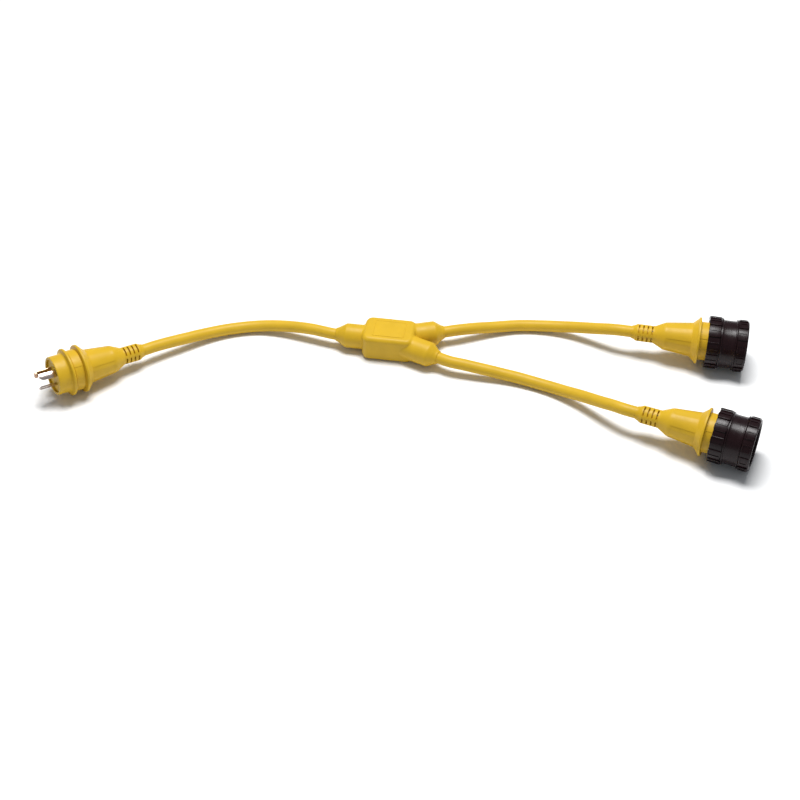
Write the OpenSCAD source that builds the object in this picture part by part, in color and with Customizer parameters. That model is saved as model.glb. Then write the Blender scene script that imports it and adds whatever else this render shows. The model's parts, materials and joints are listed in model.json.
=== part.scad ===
// Power adapter lead: one locking plug, a moulded Y junction and two locking
// connectors, each with a screw-on weather collar.
// Millimetres. Origin at the middle of the junction's flat underside,
// +X along the junction towards the two connectors, +Z up.

/* [Cable] */
// Outside diameter of the round cable jacket
cable_d = 17; // [15:0.5:18]
// Diameter of one insulated conductor
lead_d = 4.2; // [3.6:0.1:4.4]

/* [Junction] */
// Length of the moulded block
block_l = 76; // [70:1:84]
// Width of the moulded block
block_w = 55; // [51:1:64]
// Height of the moulded block
block_h = 40; // [38:1:44]
// Radius of the block's upright corners
block_corner = 9; // [6:0.5:12]
// Radius of the block's top and bottom edges
block_edge = 5.5; // [3:0.5:5.5]
// Angle of each outlet sleeve from the block's axis
branch_angle = 20; // [18:1:22]
// Radius of the cable sleeves
sleeve_r = 18; // [16:0.5:19]

/* [Housings] */
// Radius of the slotted strain relief
relief_r = 12.5; // [11:0.5:13]
// Radius of the grip at its rear and front ends
grip_r = [19.8, 24.6];
// Radius of the flange on a connector
flange_r = 33.6; // [32:0.1:34]
// Radius of the two flanges on the plug
plug_flange_r = 34.5; // [33:0.1:34.5]
// Radius of the neck and of the plug's front drum
neck_r = 27.6; // [27:0.1:27.8]
// Radius of the contact carriers at their rear and front
carrier_r = [20, 24];

/* [Collars] */
// Radius over the raised pads of the two rings
ring_r = 37.5; // [37:0.1:38]
// Height of a raised pad
pad_h = 1.6; // [1:0.1:1.8]
// Number of raised pads on a ring
pad_count = 12; // [8:2:16]
// Outside radius of the sleeve's waist
waist_r = 35.5; // [35:0.1:36]
// Radius of the coupling ring's threaded bore
thread_r = 31; // [30.5:0.1:31.2]
// Slack between pieces that turn or slide on each other
slack = 0.4; // [0.3:0.05:0.5]

/* [Contacts] */
// Radius of the circle that the blades stand on
blade_circle_r = 13; // [12:0.5:13]
// Thickness of a blade
blade_t = 1.9; // [1.6:0.1:2.2]
// Arc that a blade covers on its circle
blade_arc = 44; // [38:1:46]
// Length of blade outside the carrier's face
blade_out = 25; // [22:1:27]

/* [Hidden] */
$fn = 64;
eps = 0.1;
bar_seam = 30;
axis_h = block_h / 2;
lead_r = lead_d / 2;
cable_r = cable_d / 2;

// Stations along a housing's own axis, from the front of its flange.
relief_end = -97;
relief_full = -89;
relief_top = -65;
grip_rear = -50;
grip_front = -11;
cone_end = -3;
carrier_rear = -14;
crimp_rear = -12;
clip_rear = -4;
neck_end = 26;
insert_rear = 44;
insert_front = 54;
plug_band = [1, 16.7];
plug_flange_2 = 21.2;
plug_face = 40.7;
blade_face = 37.7;
band_r = 29.3;
tip_r = cable_r + 1;

// Stations of the collar pieces, along the same axis.
rear_ring_s = [11.3, 28.2];
rear_lip_s = 13;
washer_s = [13.2, 14.8];
seal_s = [15, 18.9];
sleeve_s = [19, 56];
waist_s = [29.2, 51.6];
lip_w = 1.8;
lip_r = 36.6;
bead_s = [53.2, 54.8];
gasket_s = [56, 57.4];
front_ring_s = [52, 67.1];
thread_s = [57.6, 65.1];
sleeve_bore = neck_r + slack;
rear_spigot_r = 32.9;
front_spigot_r = 32.4;
bead_r = 33.6;
rear_lip_bore = 31;
washer_r = [28.3, 32.9];
seal_r = [27.9, 32.6];
gasket_r = [28.1, 30.6];
pad_arc = 17.5;

// The three conductors lie in a triangle in the cable. core_angle is seen from
// the junction's trunk side and in a connector, and a plug has its mirror image.
WIRES = ["hot", "neutral", "ground"];
WIRE_COLOURS = ["#202022", "#e9e6df", "#2f7a3c"];
core_angle = [90, 210, 330];
core_r = 2.85;
socket_angle = [115, 235, -5];
blade_angle = [52, -68, 172];

// Junction internals.
branch_apex = -5;
sleeve_end = 64;
sleeve_tip = 80;
branch_end = 73;
branch_tip = 87;
capsule = [28, 47, 18];
capsule_wall = 2;
splice_r = 6.5;
splice_l = 18;
splice_pitch = 14;
splice_rise = 4;
splice_place = [0, -1, 1];

function branch_dir(side) = [cos(branch_angle), side * sin(branch_angle), 0];
function branch_point(side, l) = [branch_apex, 0, axis_h] + l * branch_dir(side);

// Cable routes: the first point is the mouth of a junction sleeve and the last
// is the mouth of a strain relief. The middle points are laid by hand.
trunk_route = [
    [-sleeve_tip, 0, axis_h], [-98.5, 2.8, 20], [-116.5, 6.2, 19.6], [-135.5, 9.4, 18],
    [-154.5, 12.2, 15.5], [-174, 13.6, 13], [-193.5, 12.8, 11], [-212, 9.2, 10],
    [-229.5, 3.3, 10], [-247.5, -5, 10.7], [-264, -15, 12.1], [-279, -26, 14.2],
    [-293, -37.6, 16.6], [-307, -49.2, 19], [-321, -60.8, 21.1], [-335, -72.8, 22.9],
    [-348.5, -85.5, 24.5]];
back_route = [
    branch_point(1, branch_tip), [93, 36.3, 20], [109, 43.9, 18.5],
    [125.5, 52, 16], [142, 59.8, 13], [159, 67, 11], [176.5, 73, 10],
    [194, 76.8, 9.5], [212.5, 78.5, 10], [230.5, 78.6, 11.5], [248.5, 77, 14],
    [266, 73.6, 18], [283.5, 68.5, 23], [300.5, 62.7, 28.5], [317, 57.2, 34],
    [333, 53.3, 37.3], [349, 52.2, 37.5]];
front_route = [
    branch_point(-1, branch_tip), [94.5, -35.9, 20], [114, -38, 19],
    [133.5, -39.5, 17], [153, -40.4, 14.5], [172.5, -41.7, 12], [191.5, -44, 10.5],
    [211, -47.9, 9.5], [229.5, -52.9, 9.5], [248, -59.6, 11], [265.5, -68, 14],
    [282.5, -77.3, 18.5], [298.5, -87.8, 23.5], [314.5, -99, 29],
    [330.5, -109.3, 34.3], [346.5, -118.1, 37.3], [363.1, -122.7, 37.5]];
plug_turn = 221.5;
plug_tilt = 6;
turns = [-3, -14.5];
SIDES = ["back", "front"];
routes = [back_route, front_route];

PLUG_PIECES = concat(["plug_overmould", "plug_blade_carrier"],
    [for (w = WIRES) str("plug_", w, "_blade")],
    [for (w = WIRES) str("plug_", w, "_lead")]);
JUNCTION_PIECES = concat(["junction_overmould", "junction_capsule_lower", "junction_capsule_upper"],
    [for (w = WIRES) str("junction_", w, "_splice")],
    [for (w = WIRES) str("junction_", w, "_leads")]);
CONNECTOR_PIECES = concat(["overmould", "contact_carrier", "face_insert"],
    [for (w = WIRES) str(w, "_contact")],
    [for (w = WIRES) str(w, "_lead")],
    ["collar_sleeve", "gland_seal", "thrust_washer", "gland_ring", "coupling_ring", "face_gasket"]);

// ---- helpers ----

function unit(v) = v / norm(v);
function heading(turn, tilt = 0) = [cos(tilt) * cos(turn), cos(tilt) * sin(turn), sin(tilt)];
function ring_points(centre, along, r, sides) =
    let (across = unit(cross(along, [0, 0, 1])), over = cross(across, along))
    [for (k = [0:sides - 1])
        let (a = 360 * k / sides) centre + r * (cos(a) * across + sin(a) * over)];

// A round tube swept along a list of points, with a ring at each point. The first
// and last rings face along ends, so that they meet the mouldings flat.
module swept_tube(route, r, ends, sides = 12) {
    rings = len(route);
    dirs = [for (i = [0:rings - 1])
        i == 0 ? ends[0] : i == rings - 1 ? ends[1] : unit(route[i + 1] - route[i - 1])];
    points = [for (i = [0:rings - 1]) each ring_points(route[i], dirs[i], r, sides)];
    walls = [for (i = [0:rings - 2]) for (k = [0:sides - 1])
        let (a = i * sides + k, b = i * sides + (k + 1) % sides)
        each [[a, b, a + sides], [b, b + sides, a + sides]]];
    caps = [[for (k = [sides - 1:-1:0]) k],
        [for (k = [0:sides - 1]) (rings - 1) * sides + k]];
    polyhedron(points = points, faces = concat(walls, caps), convexity = 6);
}

// A straight round bar between two points, longer by over at each end. bar_seam
// turns the bar about its own length, so that the line where its side closes
// meets no other edge.
module bar(from, to, r, over = 0) {
    v = to - from;
    translate(from - over * unit(v))
        rotate([0, acos(v[2] / norm(v)), atan2(v[1], v[0])])
            rotate([0, 0, bar_seam]) cylinder(r = r, h = norm(v) + 2 * over);
}

// A disc or tube on the local axis, between two stations.
module tube(s, outer, inner = 0) {
    translate([0, 0, s[0]]) difference() {
        cylinder(r = outer, h = s[1] - s[0]);
        if (inner > 0) translate([0, 0, -1]) cylinder(r = inner, h = s[1] - s[0] + 2);
    }
}

// A curved bar with a rectangular section, on the local axis.
module arc_bar(s, radii, angle, width) {
    rotate([0, 0, angle - width / 2]) rotate_extrude(angle = width)
        translate([radii[0], s[0]]) square([radii[1] - radii[0], s[1] - s[0]]);
}

// Moves a piece from its own axis to the end of a cable. The piece's axis
// follows the cable, its local y points up, and station relief_end is the mouth.
module at_cable_end(route, turn, tilt = 0) {
    translate(route[len(route) - 1]) rotate([0, -tilt, turn]) rotate([90, 0, 90])
        translate([0, 0, -relief_end]) children();
}

function on_circle(angle, s) = [blade_circle_r * cos(angle), blade_circle_r * sin(angle), s];

// ---- pieces that plug and connectors share ----

// Outline of the strain relief and grip, as [radius, station], up to the flange.
function grip_outline(rim) = [
    [0, relief_end], [tip_r, relief_end], [relief_r, relief_full], [relief_r, relief_top],
    [grip_r[0], grip_rear], [grip_r[1], grip_front], [rim - 2, cone_end], [rim, cone_end]];

function core_place(i) = core_r * [cos(core_angle[i]), sin(core_angle[i])];

// A conductor from the cable's end to its contact; flip is -1 in the plug.
module lead_bar(i, flip, angle, r, over = 0) {
    core = core_place(i);
    bar([flip * core[0], core[1], relief_end + 0.5], on_circle(angle, carrier_rear - 0.5), r, over);
}

module lead_channels(flip, angles) {
    for (i = [0:2]) lead_bar(i, flip, angles[i], lead_r + eps, 1.1);
}

module crimp_barrel(angle) {
    translate(on_circle(angle, crimp_rear)) cylinder(r = 3.4, h = clip_rear - crimp_rear + eps);
}

module crimp_pocket(angle) {
    translate(on_circle(angle, carrier_rear - 1)) cylinder(r = 3.5, h = clip_rear - carrier_rear + 1 + 2 * eps);
}

// ---- plug ----

module plug_overmould() {
    color("gold") difference() {
        rotate_extrude() polygon(concat(grip_outline(plug_flange_r), [
            [plug_flange_r, plug_band[0]], [band_r, plug_band[0]], [band_r, plug_band[1]],
            [plug_flange_r - 0.5, plug_band[1]], [plug_flange_r - 0.5, plug_flange_2],
            [neck_r, plug_flange_2], [neck_r, plug_face], [0, plug_face]]));
        tube([carrier_rear, plug_face + 1], carrier_r[0] + eps);
        tube([neck_end - eps, plug_face + 1], carrier_r[1] + eps);
        lead_channels(-1, blade_angle);
    }
}

module blade_outline(angle, grow) {
    arc_bar([clip_rear - 2 * grow, blade_face + blade_out],
        [blade_circle_r - blade_t / 2 - grow, blade_circle_r + blade_t / 2 + grow],
        angle, blade_arc + 5 * grow);
}

// The disc that the blades stand in. Its face lies below the drum's rim.
module plug_blade_carrier() {
    color("goldenrod") difference() {
        union() {
            tube([carrier_rear, neck_end], carrier_r[0]);
            tube([neck_end, blade_face], carrier_r[1]);
        }
        for (a = blade_angle) {
            blade_outline(a, eps);
            crimp_pocket(a);
        }
    }
}

// A curved blade with its crimp barrel. Line blades have a locking notch near
// the face, and the ground blade has a foot that points to the centre.
module plug_blade(i) {
    angle = blade_angle[i];
    hooked = WIRES[i] == "ground";
    color(hooked ? "#b9b2a4" : "#d9d2c4") difference() {
        union() {
            blade_outline(angle, 0);
            crimp_barrel(angle);
            if (hooked) arc_bar([blade_face + blade_out - 4, blade_face + blade_out],
                [blade_circle_r - 5, blade_circle_r], angle, blade_arc);
        }
        if (!hooked) arc_bar([blade_face + 4, blade_face + 10],
            [blade_circle_r - 3, blade_circle_r + 3], angle + blade_arc / 2, 24);
    }
}

module plug_lead(i) {
    color(WIRE_COLOURS[i]) lead_bar(i, -1, blade_angle[i], lead_r);
}

// ---- junction ----

module rounded_block(l, w, h, corner, edge) {
    hull() for (x = [-1, 1], y = [-1, 1])
        translate([x * (l / 2 - corner), y * (w / 2 - corner), 0]) rotate_extrude($fn = 32)
            polygon(concat([[0, 0]],
                [for (a = [-90:30:0]) [corner - edge + edge * cos(a), edge + edge * sin(a)]],
                [for (a = [0:30:90]) [corner - edge + edge * cos(a), h - edge + edge * sin(a)]],
                [[0, h]]));
}

// A cable sleeve from the middle of the block to its mouth, along +X.
module cable_sleeve(end, tip) {
    rotate([0, 90, 0]) rotate_extrude()
        polygon([[0, block_corner], [sleeve_r, block_corner], [sleeve_r, end], [tip_r, tip], [0, tip]]);
}

module junction_lead(i, side, r, over = 0) {
    y = splice_place[i] * splice_pitch;
    inner = splice_l / 2 + 1.2;
    core = core_place(i);
    if (side == 0)
        bar([-sleeve_tip + 0.5, core[0], axis_h + core[1]], [-inner, y, axis_h], r, over);
    else {
        across = [-side * sin(branch_angle), cos(branch_angle), 0];
        bar(branch_point(side, branch_tip - 0.5) + core[0] * across + [0, 0, core[1]],
            [inner, y, axis_h + side * splice_rise], r, over);
    }
}

module junction_channels() {
    for (i = [0:2], side = [-1:1]) junction_lead(i, side, lead_r + eps, 1.5);
}

module junction_overmould() {
    color("gold") difference() {
        union() {
            rounded_block(block_l, block_w, block_h, block_corner, block_edge);
            translate([0, 0, axis_h]) mirror([1, 0, 0]) cable_sleeve(sleeve_end, sleeve_tip);
            for (side = [-1, 1])
                translate([branch_apex, 0, axis_h]) rotate([0, 0, side * branch_angle])
                    cable_sleeve(branch_end, branch_tip);
        }
        translate([0, 0, axis_h]) cube(capsule + 2 * [eps, eps, eps], center = true);
        junction_channels();
    }
}

// One half of the splice box; side is -1 for the lower half and 1 for the upper.
module junction_capsule(side) {
    inside = capsule - 2 * capsule_wall * [1, 1, 1];
    color("#d8d5cb") difference() {
        translate([0, 0, axis_h]) cube(capsule, center = true);
        translate([0, 0, axis_h]) cube(inside, center = true);
        translate([0, 0, axis_h - side * capsule[2]]) cube(2 * capsule, center = true);
        junction_channels();
    }
}

module junction_splice(i) {
    color("#c9cbce") translate([-splice_l / 2, splice_place[i] * splice_pitch, axis_h])
        rotate([0, 90, 0]) cylinder(r = splice_r, h = splice_l);
}

module junction_leads(i) {
    color(WIRE_COLOURS[i]) for (side = [-1:1]) junction_lead(i, side, lead_r);
}

// ---- connector ----

module connector_overmould() {
    color("gold") difference() {
        rotate_extrude() polygon(concat(grip_outline(flange_r),
            [[flange_r, 0], [neck_r, 0], [neck_r, neck_end], [0, neck_end]]));
        tube([carrier_rear, neck_end + 1], carrier_r[0] + eps);
        lead_channels(1, socket_angle);
    }
}

clip_r = [blade_circle_r - 2.2, blade_circle_r + 2.2];
clip_t = 1;

module contact_pocket(angle) {
    arc_bar([clip_rear - 0.2, insert_rear + 1], [clip_r[0] - 0.4, clip_r[1] + 0.4], angle, 58);
    crimp_pocket(angle);
}

module contact_carrier() {
    color("#2a2a2c") difference() {
        union() {
            tube([carrier_rear, neck_end], carrier_r[0]);
            tube([neck_end, insert_rear], carrier_r[1]);
        }
        for (a = socket_angle) contact_pocket(a);
    }
}

// The face that a plug is pushed into, with three curved slots. Each slot is
// longer than a blade, so that the plug can be turned to lock.
module face_insert() {
    color("#1d1d1f") difference() {
        tube([insert_rear, insert_front], carrier_r[1]);
        for (a = socket_angle)
            arc_bar([insert_rear - 1, insert_front + 1],
                [blade_circle_r - blade_t / 2 - 0.25, blade_circle_r + blade_t / 2 + 0.25],
                a + 7, blade_arc + 18);
    }
}

// Two sprung leaves that grip a blade, joined at the back to a crimp barrel.
module socket_contact(i) {
    angle = socket_angle[i];
    color("#c8a24a") union() {
        arc_bar([clip_rear, insert_rear - 2], [clip_r[0], clip_r[0] + clip_t], angle, 54);
        arc_bar([clip_rear, insert_rear - 2], [clip_r[1] - clip_t, clip_r[1]], angle, 54);
        arc_bar([clip_rear, clip_rear + 2], clip_r, angle, 54);
        crimp_barrel(angle);
    }
}

module connector_lead(i) {
    color(WIRE_COLOURS[i]) lead_bar(i, 1, socket_angle[i], lead_r);
}

// A ring body with raised grip pads. The bottom pad's middle is what it rests on.
module padded_ring(s) {
    chamfer = 1;
    tube(s, ring_r - pad_h);
    for (k = [0:pad_count - 1])
        arc_bar([s[0] + chamfer, s[1] - chamfer], [ring_r - pad_h - 1, ring_r],
            k * 360 / pad_count - 90, pad_arc);
}

// Turns on the sleeve's rear thread, and squeezes the washer against the seal.
module gland_ring() {
    color("#1c1718") difference() {
        padded_ring(rear_ring_s);
        tube([rear_ring_s[0] - 1, rear_ring_s[1] + 1], rear_lip_bore);
        tube([rear_lip_s, rear_ring_s[1] + 1], rear_spigot_r + slack);
    }
}

// Turns freely on the sleeve's front, and screws onto the inlet's thread.
module coupling_ring() {
    color("#1c1718") difference() {
        padded_ring(front_ring_s);
        tube([front_ring_s[0] - 1, front_ring_s[1] + 1], thread_r);
        tube([front_ring_s[0] - 1, thread_s[0]], front_spigot_r + slack);
        tube([bead_s[0] - slack, bead_s[1] + slack], bead_r + slack);
        translate([0, 0, thread_s[1]]) cylinder(r1 = thread_r, r2 = thread_r + 2.1, h = 2.1);
    }
}

module collar_sleeve() {
    color("#1c1718") difference() {
        union() {
            tube([sleeve_s[0], waist_s[0]], rear_spigot_r);
            tube(waist_s, waist_r);
            tube([waist_s[0], waist_s[0] + lip_w], lip_r);
            tube([waist_s[1] - lip_w, waist_s[1]], lip_r);
            tube([waist_s[1], sleeve_s[1]], front_spigot_r);
            tube(bead_s, bead_r);
        }
        tube([sleeve_s[0] - 1, sleeve_s[1] + 1], sleeve_bore);
    }
}

module thrust_washer() {
    color("#e8e6e0") tube(washer_s, washer_r[1], washer_r[0]);
}

module gland_seal() {
    color("#3a3a3c") tube(seal_s, seal_r[1], seal_r[0]);
}

module face_gasket() {
    color("#3a3a3c") tube(gasket_s, gasket_r[1], gasket_r[0]);
}

module connector_piece(piece) {
    if (piece == "overmould") connector_overmould();
    if (piece == "contact_carrier") contact_carrier();
    if (piece == "face_insert") face_insert();
    if (piece == "collar_sleeve") collar_sleeve();
    if (piece == "gland_seal") gland_seal();
    if (piece == "thrust_washer") thrust_washer();
    if (piece == "gland_ring") gland_ring();
    if (piece == "coupling_ring") coupling_ring();
    if (piece == "face_gasket") face_gasket();
    for (i = [0:2]) {
        if (piece == str(WIRES[i], "_contact")) socket_contact(i);
        if (piece == str(WIRES[i], "_lead")) connector_lead(i);
    }
}

// ---- the whole lead ----

module at_plug() {
    at_cable_end(trunk_route, plug_turn, plug_tilt) children();
}

color("gold") swept_tube(trunk_route, cable_r, [[-1, 0, 0], heading(plug_turn, plug_tilt)]);  // trunk_cable
color("gold") swept_tube(back_route, cable_r, [branch_dir(1), heading(turns[0])]);  // back_cable
color("gold") swept_tube(front_route, cable_r, [branch_dir(-1), heading(turns[1])]);  // front_cable

at_plug() plug_overmould();
at_plug() plug_blade_carrier();
for (i = [0:2]) {
    at_plug() plug_blade(i);
    at_plug() plug_lead(i);
}

junction_overmould();
junction_capsule(-1);  // junction_capsule_lower
junction_capsule(1);  // junction_capsule_upper
for (i = [0:2]) {
    junction_splice(i);
    junction_leads(i);
}

for (k = [0:1], piece = CONNECTOR_PIECES)
    at_cable_end(routes[k], turns[k]) connector_piece(piece);
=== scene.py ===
# %% [markdown]
# # A Y-shaped power adapter lead
#
# The object is a short power lead: a locking plug, a moulded junction, and two locking
# connectors with black screw collars. The design file already holds every part at its real
# size. This lesson dresses that frame: it keeps each part where it is and makes the pieces
# that a person sees, with their rounded edges, grips, slots and finishes.

import json
import math

import bmesh
import bpy
from mathutils import Matrix, Vector


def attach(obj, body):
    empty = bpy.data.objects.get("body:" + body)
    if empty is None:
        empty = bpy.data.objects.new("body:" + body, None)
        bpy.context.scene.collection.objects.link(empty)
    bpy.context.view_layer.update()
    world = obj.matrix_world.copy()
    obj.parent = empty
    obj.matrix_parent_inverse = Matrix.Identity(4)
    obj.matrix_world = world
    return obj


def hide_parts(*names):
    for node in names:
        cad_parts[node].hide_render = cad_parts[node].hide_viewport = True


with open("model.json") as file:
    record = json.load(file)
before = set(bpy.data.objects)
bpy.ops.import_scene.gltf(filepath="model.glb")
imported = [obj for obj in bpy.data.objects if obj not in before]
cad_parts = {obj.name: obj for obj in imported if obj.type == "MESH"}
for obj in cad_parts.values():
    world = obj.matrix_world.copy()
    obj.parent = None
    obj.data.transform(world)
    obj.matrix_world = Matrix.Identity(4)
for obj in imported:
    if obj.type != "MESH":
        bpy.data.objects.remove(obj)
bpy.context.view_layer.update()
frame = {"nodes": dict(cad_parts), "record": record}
nodes = frame["nodes"]
slot_of = {part["node"]: part["material_slot"] for part in frame["record"]["subparts"]}

# %% [markdown]
# ## Camera
#
# The camera looks down on the floor from the near side. It aims at a point on the floor, and
# its place follows from a distance, a height angle and a turn about the upright axis. A
# location and a rotation could be typed in, but with a target and angles one number can be
# changed without losing the view. A lens longer than normal keeps the plug and the connectors
# in nearly the same scale.

# %% Camera
VIEW_TARGET = Vector((0.0325, -0.1066, 0.0))
VIEW_DISTANCE = 2.0666
VIEW_HEIGHT = math.radians(42)
VIEW_TURN = math.radians(9)
LENS = 65.5

view_from = Vector((
    math.sin(VIEW_TURN) * math.cos(VIEW_HEIGHT),
    -math.cos(VIEW_TURN) * math.cos(VIEW_HEIGHT),
    math.sin(VIEW_HEIGHT)))
camera = bpy.data.objects.new("camera", bpy.data.cameras.new("camera"))
bpy.context.scene.collection.objects.link(camera)
camera.data.lens = LENS
camera.data.sensor_width = 36
camera.location = VIEW_TARGET + view_from * VIEW_DISTANCE
camera.rotation_euler = (-view_from).to_track_quat("-Z", "Y").to_euler()
bpy.context.scene.camera = camera
bpy.context.scene.view_settings.view_transform = "Standard"
print("camera at", tuple(round(x, 3) for x in camera.location))

# %% [markdown]
# ## Materials
#
# Moulded vinyl, moulded nylon and plated brass all look plain from far away, and dull from
# near if they have one colour. Each material below starts from a Principled shader. Soft
# noise changes its colour and its roughness a little, and a fine bump gives the skin that a
# mould leaves. Painted textures could do that, but noise in object space needs no unwrapping
# and has no seams. Numbers that don't vary are set on the shader itself.

# %% A material with a mottled colour, mottled roughness and a moulded skin
def mixed(colour, factor):
    return tuple(min(1.0, c * factor) for c in colour) + (1.0,)


def noise(tree, source, scale, detail=3.0):
    texture = tree.nodes.new("ShaderNodeTexNoise")
    texture.inputs["Scale"].default_value = scale
    texture.inputs["Detail"].default_value = detail
    tree.links.new(source, texture.inputs["Vector"])
    return texture.outputs["Fac"]


def ranged(tree, source, low, high):
    """Stretches the middle of a noise, where nearly all its values lie, to low and high."""
    mapped = tree.nodes.new("ShaderNodeMapRange")
    mapped.inputs["From Min"].default_value = 0.3
    mapped.inputs["From Max"].default_value = 0.7
    mapped.inputs["To Min"].default_value = low
    mapped.inputs["To Max"].default_value = high
    tree.links.new(source, mapped.inputs["Value"])
    return mapped.outputs["Result"]


COLOUR_SPOTS = 45
ROUGH_SPOTS = 160
SKIN_STRENGTH = 0.6


def moulded(name, colour, roughness, mottle=0.05, skin=0.00006, grain=1400, gloss=0.4,
            stretch=(1, 1, 1), turn=0.0):
    material = bpy.data.materials.new(name)
    material.use_nodes = True
    tree = material.node_tree
    shader = tree.nodes["Principled BSDF"]
    shader.inputs["Specular IOR Level"].default_value = gloss
    place = tree.nodes.new("ShaderNodeTexCoord")
    mapping = tree.nodes.new("ShaderNodeMapping")
    mapping.inputs["Rotation"].default_value = (0, 0, turn)
    mapping.inputs["Scale"].default_value = stretch
    tree.links.new(place.outputs["Object"], mapping.inputs["Vector"])
    spot = mapping.outputs["Vector"]
    blend = tree.nodes.new("ShaderNodeMix")
    blend.data_type = "RGBA"
    blend.inputs["A"].default_value = mixed(colour, 1 - mottle)
    blend.inputs["B"].default_value = mixed(colour, 1 + mottle)
    tree.links.new(ranged(tree, noise(tree, spot, COLOUR_SPOTS), 0, 1), blend.inputs["Factor"])
    tree.links.new(blend.outputs["Result"], shader.inputs["Base Color"])
    tree.links.new(ranged(tree, noise(tree, spot, ROUGH_SPOTS), *roughness),
                   shader.inputs["Roughness"])
    bump = tree.nodes.new("ShaderNodeBump")
    bump.inputs["Strength"].default_value = SKIN_STRENGTH
    bump.inputs["Distance"].default_value = skin
    tree.links.new(noise(tree, spot, grain, 2), bump.inputs["Height"])
    tree.links.new(bump.outputs["Normal"], shader.inputs["Normal"])
    return material


# %% Finishes of this lead
STREAKS = (12, 300, 300)


def plated(name, colour, roughness, turn=0.0):
    """A metal strip, with faint streaks along the direction it was rolled in."""
    material = moulded(name, colour, roughness, mottle=0.07, skin=0.00003, grain=900, gloss=0.5,
                       stretch=STREAKS, turn=turn)
    material.node_tree.nodes["Principled BSDF"].inputs["Metallic"].default_value = 1.0
    return material


PLUG_TURN = 221.5
PLUG_TILT = 6
BLADE_GRAIN = -math.radians(PLUG_TURN)
YELLOW = (0.59, 0.365, 0.018)
SATIN = 0.22
FINISH = {
    "yellow_moulding": moulded("yellow_vinyl_moulding", YELLOW, (0.36, 0.48), gloss=SATIN),
    "cable_jacket": moulded("yellow_vinyl_jacket", (0.60, 0.375, 0.022), (0.38, 0.50),
                            mottle=0.04, skin=0.00008, grain=700, gloss=SATIN),
    "blade_carrier": moulded("yellow_blade_carrier", (0.58, 0.36, 0.02), (0.45, 0.6),
                             gloss=SATIN),
    "line_blade_metal": plated("nickel_plate", (0.72, 0.60, 0.54), (0.2, 0.34), BLADE_GRAIN),
    # The ground blade is brass, but its colour is darker and browner than brass: painted shade for
    # the shadow it stands in.
    "ground_blade_metal": plated("brass_darkened_as_painted_shade", (0.44, 0.29, 0.19), (0.22, 0.38), BLADE_GRAIN),
    "lead_black": moulded("black_insulation", (0.02, 0.02, 0.02), (0.35, 0.5)),
    "lead_white": moulded("white_insulation", (0.78, 0.77, 0.73), (0.35, 0.5)),
    "lead_green": moulded("green_insulation", (0.03, 0.25, 0.07), (0.35, 0.5)),
    "capsule_nylon": moulded("natural_nylon", (0.72, 0.70, 0.64), (0.4, 0.55)),
    "tinned_copper": plated("tinned_copper", (0.72, 0.72, 0.72), (0.3, 0.5)),
    "contact_brass": plated("contact_brass", (0.78, 0.58, 0.26), (0.2, 0.35)),
    "carrier_black": moulded("black_carrier", (0.022, 0.02, 0.02), (0.4, 0.55)),
    "insert_black": moulded("black_insert", (0.018, 0.017, 0.018), (0.42, 0.58),
                            mottle=0.1, skin=0.0001, grain=900),
    "collar_black": moulded("black_nylon", (0.0110, 0.0034, 0.0044), (0.22, 0.32),
                            mottle=0.1, skin=0.00005, grain=1100, gloss=SATIN),
    "washer_nylon": moulded("white_nylon", (0.80, 0.79, 0.76), (0.35, 0.5)),
    "seal_rubber": moulded("grey_neoprene", (0.04, 0.04, 0.042), (0.6, 0.75)),
}
for name, node in nodes.items():
    node.data.materials.clear()
    node.data.materials.append(FINISH[slot_of[name]])
print("finishes:", len(FINISH))

# %% [markdown]
# ## Cables
#
# A heavy jacket like this one bends in long, slow curves. A circle could be extruded along
# its way as a mesh, but a curve with a round bevel keeps one thickness and stays easy to lay
# again. Its points are listed one by one. The first and last sit on the faces of the mouldings,
# and those between sag under the cable's weight. Handles a sixth of the distance between the
# neighbours make the curve pass smoothly through every point. At both ends the handles follow
# the moulding's own axis, so that the cable goes in straight.

# %% Cable routes, the same points as in the design, in metres
BRANCH_TURN = 20
BRANCH_ANGLE = math.radians(BRANCH_TURN)
BRANCH_APEX = -0.005
BRANCH_TIP = 0.087
AXIS_HEIGHT = 0.020
CABLE_DIAMETER = 0.017


def heading(turn, tilt=0.0):
    """The direction of an axis, in degrees about the upright axis and above level."""
    turn, tilt = math.radians(turn), math.radians(tilt)
    level = math.cos(tilt)
    return Vector((math.cos(turn) * level, math.sin(turn) * level, math.sin(tilt)))


def branch_mouth(side):
    return (BRANCH_APEX + BRANCH_TIP * math.cos(BRANCH_ANGLE),
            side * BRANCH_TIP * math.sin(BRANCH_ANGLE), AXIS_HEIGHT)


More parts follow.
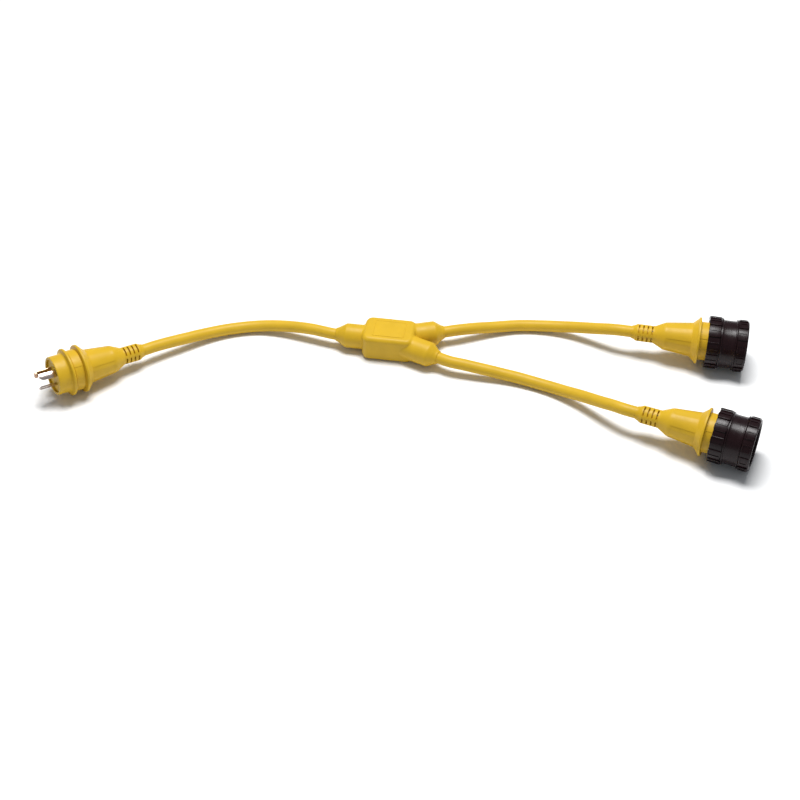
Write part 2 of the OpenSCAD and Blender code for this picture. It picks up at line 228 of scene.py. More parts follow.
TRUNK_ROUTE = [
    (-0.0800, 0.0000, AXIS_HEIGHT), (-0.0985, 0.0028, 0.0200), (-0.1165, 0.0062, 0.0196),
    (-0.1355, 0.0094, 0.0180), (-0.1545, 0.0122, 0.0155), (-0.1740, 0.0136, 0.0130),
    (-0.1935, 0.0128, 0.0110), (-0.2120, 0.0092, 0.0100), (-0.2295, 0.0033, 0.0100),
    (-0.2475, -0.0050, 0.0107), (-0.2640, -0.0150, 0.0121), (-0.2790, -0.0260, 0.0142),
    (-0.2930, -0.0376, 0.0166), (-0.3070, -0.0492, 0.0190), (-0.3210, -0.0608, 0.0211),
    (-0.3350, -0.0728, 0.0229), (-0.3485, -0.0855, 0.0245)]
BACK_ROUTE = [
    branch_mouth(1), (0.0930, 0.0363, 0.0200), (0.1090, 0.0439, 0.0185), (0.1255, 0.0520, 0.0160),
    (0.1420, 0.0598, 0.0130), (0.1590, 0.0670, 0.0110), (0.1765, 0.0730, 0.0100),
    (0.1940, 0.0768, 0.0095), (0.2125, 0.0785, 0.0100), (0.2305, 0.0786, 0.0115),
    (0.2485, 0.0770, 0.0140), (0.2660, 0.0736, 0.0180), (0.2835, 0.0685, 0.0230),
    (0.3005, 0.0627, 0.0285), (0.3170, 0.0572, 0.0340), (0.3330, 0.0533, 0.0373),
    (0.3490, 0.0522, 0.0375)]
FRONT_ROUTE = [
    branch_mouth(-1), (0.0945, -0.0359, 0.0200), (0.1140, -0.0380, 0.0190),
    (0.1335, -0.0395, 0.0170), (0.1530, -0.0404, 0.0145), (0.1725, -0.0417, 0.0120),
    (0.1915, -0.0440, 0.0105), (0.2110, -0.0479, 0.0095), (0.2295, -0.0529, 0.0095),
    (0.2480, -0.0596, 0.0110), (0.2655, -0.0680, 0.0140), (0.2825, -0.0773, 0.0185),
    (0.2985, -0.0878, 0.0235), (0.3145, -0.0990, 0.0290), (0.3305, -0.1093, 0.0343),
    (0.3465, -0.1181, 0.0373), (0.3631, -0.1227, 0.0375)]


# %% A cable as a round curve
def cable_curve(name, route, ends, node):
    curve = bpy.data.curves.new(name, "CURVE")
    curve.dimensions = "3D"
    curve.resolution_u = 6
    curve.bevel_depth = CABLE_DIAMETER / 2
    curve.bevel_resolution = 8
    curve.use_fill_caps = True
    spline = curve.splines.new("BEZIER")
    spline.bezier_points.add(len(route) - 1)
    points = [Vector(p) for p in route]
    last = len(points) - 1
    for i, knot in enumerate(spline.bezier_points):
        reach = (points[min(i + 1, last)] - points[max(i - 1, 0)]) / 6
        if i in (0, last):
            reach = ends[0 if i == 0 else 1] * reach.length * 2
        knot.co = points[i]
        knot.handle_left = points[i] - reach
        knot.handle_right = points[i] + reach
    cable = bpy.data.objects.new(name, curve)
    bpy.context.scene.collection.objects.link(cable)
    cable.data.materials.append(FINISH["cable_jacket"])
    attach(cable, "lead")
    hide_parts(node)
    return cable


BACK_TURN, FRONT_TURN = -3, -14.5
trunk = cable_curve("trunk_jacket", TRUNK_ROUTE, (heading(180), heading(PLUG_TURN, PLUG_TILT)),
                    "trunk_cable")
back_branch = cable_curve("back_jacket", BACK_ROUTE, (heading(BRANCH_TURN), heading(BACK_TURN)),
                          "back_cable")
front_branch = cable_curve("front_jacket", FRONT_ROUTE,
                           (heading(-BRANCH_TURN), heading(FRONT_TURN)), "front_cable")
print("cables:", trunk.name, back_branch.name, front_branch.name)

# %% [markdown]
# ## Turned shapes
#
# The plug, the connectors and the collars are nearly all turned shapes. One outline, drawn as
# radius and station in millimetres, is spun about its axis. A Screw modifier would turn it
# too, but after the spin operator the faces are there to be picked and pushed. Corners get a
# small rounding in the outline before the spin, because no moulded edge is really sharp, and
# the rounding is what catches the light.

# %% Outlines: rounded corners and evenly spaced stations
MM = 0.001
MOST_CUT = 0.48


def rounded(outline, closed=True, pieces=4):
    """Each point is (radius, station, rounding). A rounded corner becomes a short curve.

    A rounding takes less than half of the stretch beside it, so that two never meet.
    """
    result = []
    count = len(outline)
    for i, (r, s, rounding) in enumerate(outline):
        here = Vector((r, s))
        if rounding == 0 or (not closed and i in (0, count - 1)):
            result.append(here)
            continue
        before = Vector(outline[i - 1][:2]) - here
        after = Vector(outline[(i + 1) % count][:2]) - here
        cut = min(rounding, MOST_CUT * before.length, MOST_CUT * after.length)
        start = here + before.normalized() * cut
        end = here + after.normalized() * cut
        for k in range(pieces + 1):
            t = k / pieces
            result.append(start * (1 - t) ** 2 + here * 2 * t * (1 - t) + end * t ** 2)
    return result


def evenly(points, step):
    """Adds points so that no stretch of the outline is longer than step."""
    result = [points[0]]
    for point in points[1:]:
        start = result[-1]
        pieces = max(1, math.ceil((point - start).length / step))
        result += [start.lerp(point, k / pieces) for k in range(1, pieces + 1)]
    return result


# %% Spinning an outline, and picking faces of the result
SEAM = 1e-7
SLIVER = 2.5e-5
POLE_R = 0.01


def turned(points, steps=144, first=0.0, closed=True):
    """Spins (radius, station) points. Ends at POLE_R close when doubles within SLIVER merge."""
    bm = bmesh.new()
    rows = [bm.verts.new((p[0] * MM * math.cos(first), p[0] * MM * math.sin(first), p[1] * MM))
            for p in points]
    pairs = list(zip(rows, rows[1:]))
    if closed:
        pairs.append((rows[-1], rows[0]))
    edges = [bm.edges.new(pair) for pair in pairs]
    bmesh.ops.spin(bm, geom=rows + edges, cent=(0, 0, 0), axis=(0, 0, 1), angle=math.tau,
                   steps=steps, use_merge=True, use_duplicate=False)
    bmesh.ops.remove_doubles(bm, verts=bm.verts, dist=SEAM)
    bmesh.ops.recalc_face_normals(bm, faces=bm.faces)
    return bm


def angle_gap(angle, middle):
    return abs((angle - middle + 180) % 360 - 180)


def place_of(point):
    """(angle in degrees, radius in mm, station in mm) of a point on a turned piece."""
    return (math.degrees(math.atan2(point.y, point.x)),
            math.hypot(point.x, point.y) / MM, point.z / MM)


def picked(bm, middle, half, stations, least_radius, most_radius=math.inf):
    """Faces less than half degrees from the angle middle, between two stations and radii."""
    found = []
    for face in bm.faces:
        angle, radius, station = place_of(face.calc_center_median())
        if (stations[0] < station < stations[1] and least_radius < radius < most_radius
                and angle_gap(angle, middle) < half):
            found.append(face)
    return found


def pushed(faces, depth_at):
    """Moves the faces' corners straight towards the axis, by depth_at(angle, radius, station)."""
    for vert in {v for face in faces for v in face.verts}:
        angle, radius, station = place_of(vert.co)
        share = 1 - depth_at(angle, radius, station) / radius
        vert.co.x *= share
        vert.co.y *= share


def moved_in(bm, faces, depth_at):
    """Extrudes faces towards the axis and returns the moved ones; negative depths go outwards."""
    grown = bmesh.ops.extrude_face_region(bm, geom=faces)["geom"]
    bmesh.ops.delete(bm, geom=faces, context="FACES_ONLY")
    moved = [f for f in grown if isinstance(f, bmesh.types.BMFace)]
    pushed(moved, depth_at)
    bm.normal_update()
    return moved


# %% Putting a finished piece in the scene
LYING = Matrix(((0, 0, 1, 0), (1, 0, 0, 0), (0, 1, 0, 0), (0, 0, 0, 1)))
REAR = 97


def housing_frame(route, turn, tilt=0.0):
    """Local Z runs along the housing to its face, and local Y is up.

    Station 0 is near the flange, REAR millimetres in front of the cable's end.
    """
    turned_about = (Matrix.Rotation(math.radians(turn), 4, "Z")
                    @ Matrix.Rotation(-math.radians(tilt), 4, "Y"))
    from_cable = Matrix.Translation((0, 0, REAR * MM))
    return Matrix.Translation(route[-1]) @ turned_about @ LYING @ from_cable


def placed(name, bm, matrix, body, slot, replaced, sharp=32):
    bmesh.ops.transform(bm, matrix=matrix, verts=bm.verts)
    bmesh.ops.recalc_face_normals(bm, faces=bm.faces)
    mesh = bpy.data.meshes.new(name)
    bm.to_mesh(mesh)
    bm.free()
    mesh.shade_smooth()
    mesh.set_sharp_from_angle(angle=math.radians(sharp))
    mesh.materials.append(FINISH[slot])
    piece = bpy.data.objects.new(name, mesh)
    bpy.context.scene.collection.objects.link(piece)
    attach(piece, body)
    if replaced:
        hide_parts(*replaced)
    print(name, "faces:", len(mesh.polygons))
    return piece


PLUG_FRAME = housing_frame(TRUNK_ROUTE, PLUG_TURN, PLUG_TILT)
CONNECTORS = {
    "back": housing_frame(BACK_ROUTE, BACK_TURN),
    "front": housing_frame(FRONT_ROUTE, FRONT_TURN),
}

# %% [markdown]
# ## Strain relief and grip
#
# Plug and connectors share their rear half. The cable goes into a slotted sleeve that lets it
# bend without a kink, then a hollow shoulder, then a grip with four flat panels between four
# raised bars. Slots could be cut with a Boolean, but extruding the faces of each slot towards
# the axis gives a real gap too, and keeps one clean skin. The panels are sunk in the same way,
# down to a flat plane, so that their sides are crisp steps and their ends near the flange are
# the curved lips that such a cut leaves on a cone.

# %% The outline that plug and connectors share
SLOT_MIDDLES = (-86.4, -80.1, -73.8, -67.5)
SLOT_HALF = 1.1
SLOT_DEPTH = 4.2
SLOT_ARC = 35.0
RELIEF_R = 12.5
GRIP_REAR = (19.8, -50)
GRIP_FRONT = (24.6, -11)


def rear_outline(rim):
    slots = [(RELIEF_R, middle + side * SLOT_HALF, 0)
             for middle in SLOT_MIDDLES for side in (-1, 1)]
    return [
        (9.3, -REAR, 0.5), (9.7, -94.5, 1.5), (RELIEF_R, -89.2, 1.2), *slots,
        (RELIEF_R, -64.5, 5.0), (*GRIP_REAR, 2.2), (*GRIP_FRONT, 0.6),
        (rim - 1.6, -3.1, 0.8), (rim, -2.6, 0.5)]


# %% Slots
def cut_slots(bm, web):
    """Four slots at each station, between webs that stand at web, web + 90, and so on."""
    for middle in SLOT_MIDDLES:
        for quarter in range(4):
            faces = picked(bm, web + 45 + 90 * quarter, SLOT_ARC,
                           (middle - SLOT_HALF, middle + SLOT_HALF), least_radius=10.0)
            moved_in(bm, faces, lambda angle, radius, station: SLOT_DEPTH)


# %% Panels
PANEL_HALF = 30
PANEL_SPAN = (-48, -11.2)
PANEL_SHARE = 0.96
PANEL_STEP = 0.45
RUN_IN_START = -48.5
RUN_IN = 5


def eased(x):
    x = max(0.0, min(1.0, x))
    return x * x * (3 - 2 * x)


def grip_radius(station):
    (rear_r, rear_s), (front_r, front_s) = GRIP_REAR, GRIP_FRONT
    return rear_r + (front_r - rear_r) * (station - rear_s) / (front_s - rear_s)


def sink_panels(bm):
    """Sinks four panels to a plane, or at least by a small step, with a gentle run-in behind."""
    for middle in (0, 90, 180, 270):
        def depth_at(angle, radius, station):
            plane = PANEL_SHARE * grip_radius(station)
            flat = plane / math.cos(math.radians(angle_gap(angle, middle)))
            return max(PANEL_STEP, radius - flat) * eased((station - RUN_IN_START) / RUN_IN)

        faces = picked(bm, middle, PANEL_HALF, PANEL_SPAN, least_radius=15.0)
        moved_in(bm, faces, depth_at)
    bmesh.ops.remove_doubles(bm, verts=bm.verts, dist=SLIVER)


# %% [markdown]
# ## Connector bodies
#
# The connector's yellow moulding ends in a round flange and a smooth neck that the black
# collar slides on. Shallow steps run along the neck at 45 degrees, where the parts of the
# mould meet. The moulding is hollow: a cone round the leads, then a pocket for the carrier.
# A Solidify modifier would give one thickness everywhere, so the hollow is drawn instead, as
# the way back in one closed outline.

# %% Connector body
NECK_R = 27.6
POCKET_R = 20.1
HOLLOW = [(POCKET_R, -14), (16.5, -14.4), (7.6, -58), (7.6, -REAR)]
CONNECTOR_RIM = 33.6
CONNECTOR_WEB = 67.5


def with_hollow(outer, bore):
    outline = evenly(rounded(outer, closed=False), 1.6)
    return outline + [Vector(p) for p in bore + HOLLOW]


def step_at_mould_line(bm, stations, least_radius):
    """Sinks two opposite quarters of a wall, which leaves a low step at each 45 degrees."""
    for middle in (0, 180):
        sunk = picked(bm, middle, 45, stations, least_radius)
        bmesh.ops.inset_region(bm, faces=sunk, thickness=0.35 * MM, depth=-0.5 * MM,
                               use_even_offset=True)


def connector_body(side, matrix):
    outer = rear_outline(CONNECTOR_RIM) + [
        (CONNECTOR_RIM, 0.2, 0.5), (NECK_R, 0.2, 0.8), (NECK_R, 26, 1.0), (POCKET_R + 0.5, 26, 0)]
    bm = turned(with_hollow(outer, [(POCKET_R, 25.6)]))
    cut_slots(bm, CONNECTOR_WEB)
    sink_panels(bm)
    step_at_mould_line(bm, (0.8, 25), least_radius=26)
    placed(side + "_body", bm, matrix, "lead", "yellow_moulding", [side + "_overmould"])


for side, matrix in CONNECTORS.items():
    connector_body(side, matrix)

# %% [markdown]
# ## Plug body
#
# The plug has two rounded flanges with a band between them, and a drum that ends in the face.
# Fine grooves follow the flanges. Rings could be added to a plain drum, but all of it is one
# moulding, so it is one outline. The blade carrier is a separate disc that sits 3 mm below the
# drum's rounded rim, as deep as the lip that a moulder leaves round an insert.

# %% Plug body
PLUG_RIM = 34.5
PLUG_WEB = 22.5
GROOVE_R = 28.6
RIM = 40.7
CARRIER_R = 24.0
CARRIER_GAP = 0.1


def plug_body():
    outer = rear_outline(PLUG_RIM)[:-2] + [
        (33.0, -3.0, 1.2), (PLUG_RIM, -2.0, 1.0), (PLUG_RIM, 1.2, 1.4), (29.6, 2.4, 0.5),
        (GROOVE_R, 2.7, 0.2), (GROOVE_R, 3.3, 0.2), (29.3, 3.5, 0.2), (29.3, 15.2, 0.2),
        (GROOVE_R, 15.4, 0.2), (GROOVE_R, 16.0, 0.2), (29.4, 16.2, 0.3), (34.0, 17.2, 1.3),
        (34.0, 20.6, 1.3), (28.4, 22.6, 1.6), (NECK_R, 26, 2.0), (NECK_R, RIM, 2.0),
        (CARRIER_R + 0.5, RIM, 0.4), (CARRIER_R + CARRIER_GAP, RIM - 0.6, 0)]
    bm = turned(with_hollow(outer, [(CARRIER_R + CARRIER_GAP, 26), (POCKET_R, 26)]))
    cut_slots(bm, PLUG_WEB)
    sink_panels(bm)
    step_at_mould_line(bm, (3.7, 15.0), least_radius=28.9)
    placed("plug_body", bm, PLUG_FRAME, "lead", "yellow_moulding", ["plug_overmould"])


plug_body()

# %% [markdown]
# ## Blades
#
# Locking blades are curved strips that stand on one circle. A box could be bent, but spinning
# a flat outline through the blade's arc gives the right curve at once, with its foot
# where the outline has it. The line blades lose a notch on one edge, where the outlet's
# contacts lock, and their tips slope down to the other edge. The ground blade turns a foot to
# the middle.

# %% Curved strips
BLADE_ANGLES = {"hot": 52, "neutral": -68, "ground": 172}
BLADE_CIRCLE = 13.0
BLADE_T = 1.9
BLADE_ARC = 44
FACE = RIM - 3
BLADE_END = FACE + 25
BLADE_STEPS = 11
BLADE_EDGE = 0.28


def spun_strip(outline, middle):
    """A closed outline of (radius, station) points, spun through the blade's arc."""
    bm = bmesh.new()
    start = math.radians(middle - BLADE_ARC / 2)
    corners = [bm.verts.new((r * MM * math.cos(start), r * MM * math.sin(start), s * MM))
               for r, s in outline]
    face = bm.faces.new(corners)
    bmesh.ops.spin(bm, geom=[face] + list(face.edges) + corners, cent=(0, 0, 0), axis=(0, 0, 1),
                   angle=math.radians(BLADE_ARC), steps=BLADE_STEPS, use_merge=False,
                   use_duplicate=False)
    bmesh.ops.remove_doubles(bm, verts=bm.verts, dist=SEAM)
    bmesh.ops.recalc_face_normals(bm, faces=bm.faces)
    return bm


def soften_edges(bm):
    sharp = [e for e in bm.edges if e.is_manifold and e.calc_face_angle(0) > math.radians(30)]
    bmesh.ops.bevel(bm, geom=sharp, offset=BLADE_EDGE * MM, offset_type="OFFSET", segments=2,
                    profile=0.5, affect="EDGES", material=-1, clamp_overlap=True)


# %% Blades
BLADE_ROOT = -4
NOTCH = (FACE + 4, FACE + 10)
NOTCH_FROM = 10
TIP_DROP = 4.5
TIP_ARC = 16
FOOT_REACH = 5
FOOT_T = 4


def cut_notch(bm, angle):
    """Deletes the faces of the notch and fills the holes that this leaves."""
    notch = []
    for face in bm.faces:
        turn_in, _, station = place_of(face.calc_center_median())
        if (NOTCH[0] < station < NOTCH[1] and turn_in % 360 > (angle + NOTCH_FROM) % 360
                and angle_gap(turn_in, angle) < 30):
            notch.append(face)
    bmesh.ops.delete(bm, geom=notch, context="FACES")
    bmesh.ops.holes_fill(bm, edges=[e for e in bm.edges if e.is_boundary], sides=0)


def slope_tip(bm, angle):
    """Lowers the tip towards one edge, which guides the blade into its slot."""
    for vert in bm.verts:
        turn_in, _, station = place_of(vert.co)
        if station > BLADE_END - 0.01:
            from_edge = angle_gap(turn_in, angle - BLADE_ARC / 2)
            vert.co.z -= TIP_DROP * MM * max(0.0, 1 - from_edge / TIP_ARC)


def line_blade(name, angle):
    low, high = BLADE_CIRCLE - BLADE_T / 2, BLADE_CIRCLE + BLADE_T / 2
    stations = [BLADE_ROOT, *NOTCH, BLADE_END - 5, BLADE_END]
    outline = [(high, s) for s in stations] + [(low, s) for s in reversed(stations)]
    bm = spun_strip(outline, angle)
    cut_notch(bm, angle)
    slope_tip(bm, angle)
    soften_edges(bm)
    placed("plug_" + name + "_strip", bm, PLUG_FRAME, "lead", "line_blade_metal",
           ["plug_" + name + "_blade"], sharp=40)


def ground_blade(angle):
    low, high = BLADE_CIRCLE - BLADE_T / 2, BLADE_CIRCLE + BLADE_T / 2
    foot, under = BLADE_CIRCLE - FOOT_REACH, BLADE_END - FOOT_T
    outline = [(high, BLADE_ROOT), (high, BLADE_END), (foot, BLADE_END), (foot, under),
               (low, under), (low, BLADE_ROOT)]
    bm = spun_strip(outline, angle)
    soften_edges(bm)
    placed("plug_ground_strip", bm, PLUG_FRAME, "lead", "ground_blade_metal",
           ["plug_ground_blade"], sharp=40)


line_blade("hot", BLADE_ANGLES["hot"])
line_blade("neutral", BLADE_ANGLES["neutral"])
ground_blade(BLADE_ANGLES["ground"])

# %% [markdown]
# ## Faces with curved slots
#
# The plug's blades stand in a round carrier, and each connector has a black face with three
# curved slots that a blade enters and twists in. A Boolean could cut the slots, but it leaves
# long thin faces. Here the disc has rings of faces at the slots' two radii, and the faces of
# each slot are extruded down into it.

# %% A face with curved slots
def slotted_disc(wall, front, slots, inner, outer, depth):
    """A disc with curved slots in its front, between the radii inner and outer.

    wall holds the outside's points, and slots are (middle, half width) in degrees.
    """
    outline = rounded([(POLE_R, wall[0][1], 0), *wall, (wall[-1][0], front, 0.7),
                       (outer + 1.5, front, 0)], closed=False)
    outline += [Vector((r, front)) for r in (outer, inner, inner - 2, 4, POLE_R)]
    bm = turned(outline, 180, closed=False)
    bmesh.ops.remove_doubles(bm, verts=bm.verts, dist=SLIVER)
    for middle, half in slots:
        faces = picked(bm, middle, half, (front - 0.01, front + 0.01), inner, outer)
        grown = bmesh.ops.extrude_face_region(bm, geom=faces)["geom"]
        bmesh.ops.delete(bm, geom=faces, context="FACES_ONLY")
        bmesh.ops.translate(bm, vec=(0, 0, -depth * MM),
                            verts=[v for v in grown if isinstance(v, bmesh.types.BMVert)])
    return bm


# %% The plug's blade carrier
CARRIER_WALL = [(20.0, -14, 0), (20.0, 26.1, 0), (CARRIER_R, 26.1, 0)]

blade_gaps = [(angle, BLADE_ARC / 2 + 1) for angle in BLADE_ANGLES.values()]
disc = slotted_disc(CARRIER_WALL, FACE, blade_gaps, inner=11.9, outer=14.1, depth=3.0)
placed("plug_face_disc", disc, PLUG_FRAME, "lead", "blade_carrier", ["plug_blade_carrier"])

# %% The connectors' faces, with slots that leave the blades room to twist
SOCKET_WALL = [(24.0, 44, 0)]
SOCKET_FRONT = 54
SOCKET_ANGLES = (115, 235, -5)
TWIST_LEAD = 7
TWIST_ROOM = 9

for side, matrix in CONNECTORS.items():
    twist_slots = [(angle + TWIST_LEAD, BLADE_ARC / 2 + TWIST_ROOM) for angle in SOCKET_ANGLES]
    disc = slotted_disc(SOCKET_WALL, SOCKET_FRONT, twist_slots, inner=11.8, outer=14.2, depth=9.5)
    placed(side + "_socket_face", disc, matrix, "lead", "insert_black", [side + "_face_insert"])

# %% [markdown]
# ## Collars
#
# Each collar has a waisted sleeve between two rings. The rings have twelve raised pads for
# the fingers, with a shallow pocket in each. Blocks could be stuck on a plain ring, but here
# faces of the turned ring are extruded outwards and then inset, so that ring and pads stay one
# skin. The coupling ring has a thread inside: the outline of its ridge, spun with a small rise
# at each step, which makes a helix.

# %% Raised pads
PAD_COUNT = 12
PAD_HALF = 8.75
RING_R = 35.9
PAD_H = 1.6
PAD_EDGE = 0.35
PAD_STEPS = ((0.4, -PAD_EDGE), (1.5, 0.0), (0.4, 0.8))
HALF_STEP = math.radians(1.25)


def split_at(outline, stations):
    """Adds a point to the outer wall at each station, so that pads can start and end there."""
    result = []
    for a, b in zip(outline, outline[1:] + outline[:1]):
        result.append(a)
        inside = [s for s in stations if min(a.y, b.y) < s < max(a.y, b.y)]
        if a.x > RING_R - 0.3 and b.x > RING_R - 0.3:
            inside.sort(reverse=a.y > b.y)
            result += [a.lerp(b, (s - a.y) / (b.y - a.y)) for s in inside]
    return result


def raise_pads(bm, stations):
    """Each pad rises straight, then gets a small bevel, a flat border and a shallow pocket."""
    for k in range(PAD_COUNT):
        faces = picked(bm, k * 360 / PAD_COUNT - 90, PAD_HALF, stations, RING_R - 0.4)
        pad = moved_in(bm, faces, lambda angle, radius, station: PAD_EDGE - PAD_H)
        for width, depth in PAD_STEPS:
            bmesh.ops.inset_region(bm, faces=pad, thickness=width * MM, depth=0.0,
                                   use_even_offset=False)
            pushed(pad, lambda angle, radius, station: depth)
            bm.normal_update()


def ring_with_pads(corners, stations):
    """Spins a ring from half a step on, so that each pad covers whole faces."""
    bm = turned(split_at(rounded(corners), stations), first=HALF_STEP)
    raise_pads(bm, stations)
    return bm


# %% The two rings of a collar
def gland_ring(side, matrix):
    bm = ring_with_pads([
        (31.0, 11.3, 0.4), (RING_R, 11.3, 0.8), (RING_R, 28.2, 0.8), (33.3, 28.2, 0.3),
        (33.3, 13.0, 0), (31.0, 13.0, 0.3)], (12.0, 27.5))
    placed(side + "_rear_ring", bm, matrix, side + "_gland_nut", "collar_black",
           [side + "_gland_ring"])


def coupling_ring(side, matrix):
    bm = ring_with_pads([
        (32.8, 52.0, 0.3), (RING_R, 52.0, 0.8), (RING_R, 67.1, 1.9), (33.2, 67.1, 0.4),
        (32.0, 65.6, 0.3), (32.0, 57.6, 0.2), (32.8, 57.6, 0), (32.8, 55.2, 0), (34.0, 55.2, 0),
        (34.0, 52.8, 0), (32.8, 52.8, 0)], (52.8, 65.1))
    placed(side + "_front_ring", bm, matrix, side + "_coupling", "collar_black",
           [side + "_coupling_ring"])


# %% The coupling ring's thread
THREAD_PITCH = 3.0
THREAD_TURNS = 1.7
THREAD_STEPS = int(72 * THREAD_TURNS)
THREAD_RIDGE = ((32.3, 58.0), (31.2, 59.0), (31.2, 59.3), (32.3, 60.3))


def coupling_thread(side, matrix):
    bm = bmesh.new()
    corners = [bm.verts.new((r * MM, 0, s * MM)) for r, s in THREAD_RIDGE]
    face = bm.faces.new(corners)
    rise = THREAD_PITCH * THREAD_TURNS / THREAD_STEPS * MM
    bmesh.ops.spin(bm, geom=[face] + list(face.edges) + corners, cent=(0, 0, 0), axis=(0, 0, 1),
                   dvec=(0, 0, rise), angle=math.tau * THREAD_TURNS, steps=THREAD_STEPS,
                   use_duplicate=False)
    bmesh.ops.remove_doubles(bm, verts=bm.verts, dist=SEAM)
    placed(side + "_ring_thread", bm, matrix, side + "_coupling", "collar_black", [])


# %% Sleeve and washer
LIP_R = 36.5
WAIST_R = 34.2


def sleeve(side, matrix):
    outline = rounded([
        (28.0, 19.0, 0.3), (32.9, 19.0, 0.4), (32.9, 29.2, 0), (LIP_R, 29.2, 0.4),
        (LIP_R, 31.0, 0.4), (34.5, 31.2, 0.4), (WAIST_R, 36.0, 2.0), (WAIST_R, 45.0, 2.0),
        (34.5, 49.6, 0.4), (LIP_R, 49.8, 0.4), (LIP_R, 51.6, 0.4), (32.4, 51.6, 0),
        (32.4, 53.2, 0), (33.6, 53.4, 0.2), (33.6, 54.6, 0.2), (32.4, 54.8, 0),
        (32.4, 56.0, 0.4), (28.0, 56.0, 0.4)])
    placed(side + "_waist", turned(outline), matrix, side + "_collar", "collar_black",
           [side + "_collar_sleeve"])


def washer(side, matrix):
    outline = rounded([(28.3, 13.2, 0.3), (32.9, 13.2, 0.3), (32.9, 14.8, 0.3), (28.3, 14.8, 0.3)])
    placed(side + "_slip_washer", turned(outline, 96), matrix, side + "_washer", "washer_nylon",
           [side + "_thrust_washer"])


for side, matrix in CONNECTORS.items():
    gland_ring(side, matrix)
    coupling_ring(side, matrix)
    coupling_thread(side, matrix)
    sleeve(side, matrix)
    washer(side, matrix)

# %% [markdown]
# ## Junction
#
# The junction is one soft moulding: a block with rounded edges that three cable sleeves grow
# out of. A Boolean union would leave hard creases where they meet. So the shapes are made
# apart, joined by a voxel remesh into one skin, and smoothed, which gives the sleeves the
# fillets that a mould gives. The blank label frame on top is too fine for the voxels, so it is
# added to the skin afterwards.

# %% Junction shapes
BLOCK = (76, 55, 40)
BLOCK_CORNER = 11.0
BLOCK_EDGE = 6.5
SLEEVE_R = 18.0
TRUNK_SLEEVE = (64, 80)
BRANCH_SLEEVE = (73, 87)


def block_shape():
    bm = bmesh.new()
    bmesh.ops.create_cube(bm, size=1.0)
    bmesh.ops.scale(bm, vec=[d * MM for d in BLOCK], verts=bm.verts)
    bmesh.ops.translate(bm, vec=(0, 0, AXIS_HEIGHT), verts=bm.verts)
    upright = [e for e in bm.edges if abs(e.verts[0].co.z - e.verts[1].co.z) > 1e-3]
    bmesh.ops.bevel(bm, geom=upright, offset=BLOCK_CORNER * MM, segments=10, profile=0.5,
                    affect="EDGES", material=-1)
    level = [e for e in bm.edges if e.is_manifold and e.calc_face_angle(0) > math.radians(60)]
    bmesh.ops.bevel(bm, geom=level, offset=BLOCK_EDGE * MM, segments=8, profile=0.5,
                    affect="EDGES", material=-1)
    return bm


def sleeve_shape(end, tip, turn, shift):
    """A sleeve that is full to end and tapers to tip, both in millimetres from its start."""
    outline = rounded([
        (POLE_R, 5, 0), (SLEEVE_R, 5, 0), (SLEEVE_R, end, 1.2), (10.4, tip - 3.2, 1.2),
        (9.6, tip, 0.5), (POLE_R, tip, 0)], closed=False)
    bm = turned(evenly(outline, 4), 72, closed=False)
    place = Matrix.Translation((shift, 0, AXIS_HEIGHT)) @ Matrix.Rotation(turn, 4, "Z") @ LYING
    bmesh.ops.transform(bm, matrix=place, verts=bm.verts)
    return bm


def joined(shapes):
    whole = bmesh.new()
    for shape in shapes:
        scratch = bpy.data.meshes.new("scratch")
        shape.to_mesh(scratch)
        shape.free()
        whole.from_mesh(scratch)
        bpy.data.meshes.remove(scratch)
    bmesh.ops.remove_doubles(whole, verts=whole.verts, dist=SLIVER)
    bmesh.ops.recalc_face_normals(whole, faces=whole.faces)
    return whole


# %% One skin by voxel remesh
VOXEL = 0.0009


def one_skin(bm, name):
    mesh = bpy.data.meshes.new(name)
    bm.to_mesh(mesh)
    bm.free()
    shape = bpy.data.objects.new(name, mesh)
    bpy.context.scene.collection.objects.link(shape)
    remesh = shape.modifiers.new("skin", "REMESH")
    remesh.mode = "VOXEL"
    remesh.voxel_size = VOXEL
    graph = bpy.context.evaluated_depsgraph_get()
    skin = bmesh.new()
    skin.from_mesh(shape.evaluated_get(graph).to_mesh())
    shape.evaluated_get(graph).to_mesh_clear()
    bpy.data.objects.remove(shape)
    bpy.data.meshes.remove(mesh)
    return skin


# %% The label's frame
LABEL = (47, 36, 1.0)
LABEL_MIDDLE = 39.9
LABEL_STEPS = ((0.25, 0.0), (1.3, 0.0), (0.35, -0.35))


def label_frame():
    """A low raised border with a blank field inside it, on top of the block."""
    bm = bmesh.new()
    bmesh.ops.create_cube(bm, size=1.0)
    bmesh.ops.scale(bm, vec=[d * MM for d in LABEL], verts=bm.verts)
    bmesh.ops.translate(bm, vec=(0, 0, LABEL_MIDDLE * MM), verts=bm.verts)
    upright = [e for e in bm.edges if abs(e.verts[0].co.z - e.verts[1].co.z) > 0.5 * MM]
    bmesh.ops.bevel(bm, geom=upright, offset=3 * MM, segments=6, profile=0.5, affect="EDGES",
                    material=-1)
    top = [f for f in bm.faces if f.normal.z > 0.9]
    for thickness, depth in LABEL_STEPS:
        bmesh.ops.inset_region(bm, faces=top, thickness=thickness * MM, depth=depth * MM)
    return bm


# %% The whole junction
MEETING = (34, 44)
SMOOTH_ALL = 2
SMOOTH_MEETING = 14


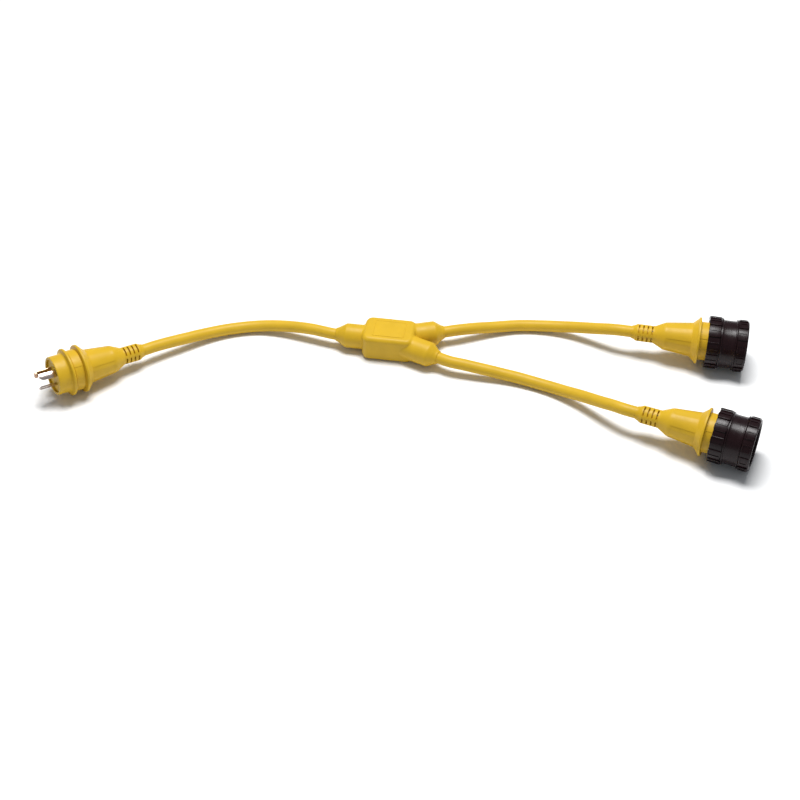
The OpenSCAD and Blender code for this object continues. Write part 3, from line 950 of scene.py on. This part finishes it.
def junction():
    shapes = [block_shape(), sleeve_shape(*TRUNK_SLEEVE, math.pi, 0.0)]
    shapes += [sleeve_shape(*BRANCH_SLEEVE, side * BRANCH_ANGLE, BRANCH_APEX) for side in (-1, 1)]
    skin = one_skin(joined(shapes), "junction_blank")
    meeting = [v for v in skin.verts if MEETING[0] < abs(v.co.x) / MM < MEETING[1]]
    for verts in [skin.verts] * SMOOTH_ALL + [meeting] * SMOOTH_MEETING:
        bmesh.ops.smooth_vert(skin, verts=verts, factor=0.5, use_axis_x=True, use_axis_y=True,
                              use_axis_z=True)
    heights = [v.co.z / MM for v in skin.verts]
    print("junction skin from", round(min(heights), 2), "to", round(max(heights), 2), "mm")
    placed("junction_body", joined([skin, label_frame()]), Matrix.Identity(4), "lead",
           "yellow_moulding", ["junction_overmould"], sharp=40)


junction()

# %% [markdown]
# ## Floor and light
#
# A pale floor and one large soft lamp, nearly overhead and a little behind the lead, give the
# wide, gentle highlights of a product table. More lamps would lift the dark sides too, but
# each would add a shadow of its own. So the world adds a low, slightly blue fill instead.

# %% Floor
FLOOR_GAP = 0.0002
FLOOR_REACH = 6.0


def pale_floor():
    bm = bmesh.new()
    bmesh.ops.create_grid(bm, x_segments=1, y_segments=1, size=FLOOR_REACH)
    bmesh.ops.translate(bm, vec=(0, 0, -FLOOR_GAP), verts=bm.verts)
    mesh = bpy.data.meshes.new("floor")
    bm.to_mesh(mesh)
    bm.free()
    material = bpy.data.materials.new("pale_floor")
    material.use_nodes = True
    shader = material.node_tree.nodes["Principled BSDF"]
    shader.inputs["Base Color"].default_value = (0.93, 0.93, 0.93, 1)
    shader.inputs["Roughness"].default_value = 0.9
    shader.inputs["Specular IOR Level"].default_value = 0.1
    mesh.materials.append(material)
    floor = bpy.data.objects.new("floor", mesh)
    bpy.context.scene.collection.objects.link(floor)
    print("floor", FLOOR_GAP / MM, "mm below the lead")


pale_floor()


# %% Lamp and world
FILL_COLOUR = (0.9, 0.95, 1, 1)
FILL_STRENGTH = 0.26


def soft_lamp(name, place, aim, size, power):
    light = bpy.data.lights.new(name, "AREA")
    light.shape = "RECTANGLE"
    light.size = size[0]
    light.size_y = size[1]
    light.energy = power
    lamp = bpy.data.objects.new(name, light)
    lamp.location = place
    lamp.rotation_euler = (Vector(aim) - Vector(place)).to_track_quat("-Z", "Y").to_euler()
    bpy.context.scene.collection.objects.link(lamp)
    print(name, "lamp:", power, "W at", place)


soft_lamp("key", (0.0, 0.45, 2.55), (0.0, 0.0, 0.0), (1.5, 1.0), 92)
world = bpy.data.worlds.new("world")
world.use_nodes = True
world.node_tree.nodes["Background"].inputs["Color"].default_value = FILL_COLOUR
world.node_tree.nodes["Background"].inputs["Strength"].default_value = FILL_STRENGTH
bpy.context.scene.world = world
